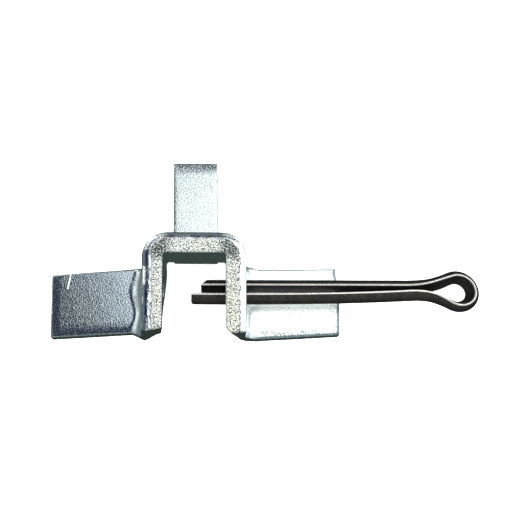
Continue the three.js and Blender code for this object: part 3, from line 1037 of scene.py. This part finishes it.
def steel_material():
    """Dark drawn wire with fine lines along it, bright along the edges of its flat face: partly rubbed metal,
    partly a painted highlight.
    """
    material, tree, shader = new_material("dark_steel")
    here = place(tree)
    along, around, worn = (attribute(tree, name) for name in ("along", "around", "worn"))
    unrolled = combine(tree, times(tree, along, DRAWN_STRETCH), around)
    drawn = noise_node(tree, unrolled, DRAWN_SIZE, detail=3.0, rough=0.6)
    rust = noise_node(tree, here, RUST_SIZE, detail=3.0, rough=0.6)
    patch = noise_node(tree, here, RUBBED_PATCH_SIZE, rough=0.6)

    dark = blend_colours(tree, step_node(tree, rust, *RUST_PATCHES), STEEL_DARK, STEEL_BROWN)
    dark = blend_colours(tree, step_node(tree, drawn, *DRAWN_LINES), dark, DRAWN_COLOUR)
    patches = step_node(tree, patch, *RUBBED_PATCHES, RUBBED_LEAST)
    rubbed = times(tree, step_node(tree, worn, *RUBBED_EDGE), patches)
    colour = blend_colours(tree, rubbed, dark, RUBBED_COLOUR)
    tree.links.new(colour, shader.inputs["Base Color"])

    shader.inputs["Metallic"].default_value = STEEL_METALLIC
    rough = step_node(tree, drawn, *DRAWN_RANGE, *STEEL_ROUGHNESS)
    rough = blend_values(tree, rubbed, rough, RUBBED_ROUGHNESS)
    tree.links.new(rough, shader.inputs["Roughness"])
    normal = bump(tree, drawn, DRAWN_DEPTH)
    normal = bump(tree, noise_node(tree, here, PITTING_SIZE), PITTING_DEPTH, normal)
    tree.links.new(normal, shader.inputs["Normal"])
    return material


# ---- Pieces ----

bracket = make_bracket(zinc_material())
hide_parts("coupler_bracket")
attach(bracket, "bracket")

pin = make_pin(steel_material())
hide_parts("split_pin")
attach(pin, "pin")

# ---- Stage, light and camera: metres from the middle of the saddle, but for the camera ----

FLOOR_SIZE = 4.0
FLOOR_DROP = 0.0002
FLOOR_COLOUR = (0.9, 0.9, 0.9, 1)
FLOOR_ROUGHNESS = 0.9
FLOOR_GLOW = 0.5

CAMERA_AT = (8.885, -66.956, 393.561)   # mm, in the design frame
CAMERA_AIM = (20.689, -3.999, 0.0)
CAMERA_ROLL = 0.36                      # degrees
CAMERA_LENS = 84.93                     # mm
SENSOR_WIDTH = 36.0
CAMERA_CLIP = 0.01

ROOM_BELOW = (0.045, 0.065, 0.056)
ROOM_LEVEL = (0.20, 0.22, 0.22)
ROOM_ABOVE = (0.45, 0.50, 0.48)
ROOM_CAP = (0.02, 0.028, 0.06)
LEVEL_HEIGHTS = (-0.5, -0.1)            # of the direction looked in
ABOVE_HEIGHTS = (0.2, 0.55)
DARK_CAP_WAY = (-0.05, 0.15, 1.0)
DARK_CAP_ANGLES = (30, 22)              # degrees from that direction

# Soft boxes that look straight down: x, y, size, power, colour.
OVERHEAD_HEIGHT = 0.9
COOL_LIGHT = (0.93, 1.0, 1.0)
WHITE_LIGHT = (1, 1, 1)
OVERHEAD_BOXES = {
    "key": (0.430, 0.14, (0.80, 0.30), 1.56, WHITE_LIGHT),
    "key_wing": (-0.018, 0.06, (0.096, 0.14), 0.070, COOL_LIGHT),
    "key_top": (-0.018, 0.21, (0.096, 0.16), 0.055, COOL_LIGHT),
    "key_tip": (-0.096, 0.22, (0.06, 0.14), 0.031, COOL_LIGHT),
}
# Soft boxes that look at the saddle: place, size, power.
SIDE_AIM = (0, 0, 0.02)
SIDE_BOXES = {
    "left": ((-0.72, 0.15, 0.72), (0.3, 0.5), 0.25),
    "upper_left": ((-0.36, 0.5, 0.8), (0.3, 0.45), 0.7),
    "upper_right": ((0.5, 0.62, 0.8), (0.5, 0.5), 1.2),
    "right": ((0.95, 0.15, 0.45), (0.5, 0.9), 1.6),
}
BASE_HEIGHT = 1.5                       # one even light that no surface mirrors
BASE_SIZE = (2.0, 2.0)
BASE_POWER = 95


def make_floor():
    mesh = bpy.data.meshes.new("floor")
    half = FLOOR_SIZE / 2
    corners = [(-half, -half, 0), (half, -half, 0), (half, half, 0), (-half, half, 0)]
    mesh.from_pydata(corners, [], [(0, 1, 2, 3)])
    material, _, shader = new_material("floor")
    shader.inputs["Base Color"].default_value = FLOOR_COLOUR
    shader.inputs["Roughness"].default_value = FLOOR_ROUGHNESS
    shader.inputs["Emission Color"].default_value = (*WHITE_LIGHT, 1)
    shader.inputs["Emission Strength"].default_value = FLOOR_GLOW
    mesh.materials.append(material)
    floor = bpy.data.objects.new("floor", mesh)
    floor.location.z = -FLOOR_DROP
    floor.visible_glossy = False
    bpy.context.scene.collection.objects.link(floor)


def area_light(name, at, aim, size, power, colour=WHITE_LIGHT, glossy=True):
    """A soft box: at and aim are in metres from the middle of the saddle."""
    light = bpy.data.lights.new(name, "AREA")
    light.shape = "RECTANGLE"
    light.size, light.size_y = size
    light.energy = power
    light.color = colour
    lamp = bpy.data.objects.new(name, light)
    lamp.location = saddle_origin + Vector(at)
    lamp.rotation_euler = (Vector(aim) - Vector(at)).to_track_quat("-Z", "Y").to_euler()
    lamp.visible_glossy = glossy
    bpy.context.scene.collection.objects.link(lamp)


def make_lights():
    for name, (x, y, size, power, colour) in OVERHEAD_BOXES.items():
        area_light(name, (x, y, OVERHEAD_HEIGHT), (x, y, 0), size, power, colour)
    for name, (at, size, power) in SIDE_BOXES.items():
        area_light(name, at, SIDE_AIM, size, power)
    area_light("base", (0, 0, BASE_HEIGHT), (0, 0, 0), BASE_SIZE, BASE_POWER, glossy=False)


def make_world():
    """A light grey-green studio, dark round the soft box overhead and dark below."""
    world = bpy.data.worlds.new("studio")
    world.use_nodes = True
    tree = world.node_tree
    background = tree.nodes["Background"]
    way = tree.nodes.new("ShaderNodeTexCoord").outputs["Generated"]
    upward = separate(tree, way)["Z"]
    facing = tree.nodes.new("ShaderNodeVectorMath")
    facing.operation = "DOT_PRODUCT"
    tree.links.new(way, facing.inputs[0])
    facing.inputs[1].default_value = Vector(DARK_CAP_WAY).normalized()
    cap_range = (math.cos(math.radians(angle)) for angle in DARK_CAP_ANGLES)
    cap = step_node(tree, facing.outputs["Value"], *cap_range)
    colour = blend_colours(tree, step_node(tree, upward, *LEVEL_HEIGHTS), ROOM_BELOW, ROOM_LEVEL)
    colour = blend_colours(tree, step_node(tree, upward, *ABOVE_HEIGHTS), colour, ROOM_ABOVE)
    colour = blend_colours(tree, cap, colour, ROOM_CAP)
    tree.links.new(colour, background.inputs["Color"])
    bpy.context.scene.world = world


def make_camera():
    data = bpy.data.cameras.new("camera")
    data.sensor_width = SENSOR_WIDTH
    data.lens = CAMERA_LENS
    data.clip_start = CAMERA_CLIP
    camera = bpy.data.objects.new("camera", data)
    at = Vector(to_row(CAMERA_AT))
    back = (at - Vector(to_row(CAMERA_AIM))).normalized()
    level = (Vector((1, 0, 0)) - back * back.x).normalized()
    roll = math.radians(CAMERA_ROLL)
    right = level * math.cos(roll) + back.cross(level) * math.sin(roll)
    up = back.cross(right)
    camera.matrix_world = Matrix.Translation(at) @ Matrix((right, up, back)).transposed().to_4x4()
    bpy.context.scene.collection.objects.link(camera)
    bpy.context.scene.camera = camera


make_floor()
make_world()
make_lights()
make_camera()
bpy.context.scene.view_settings.view_transform = "Standard"
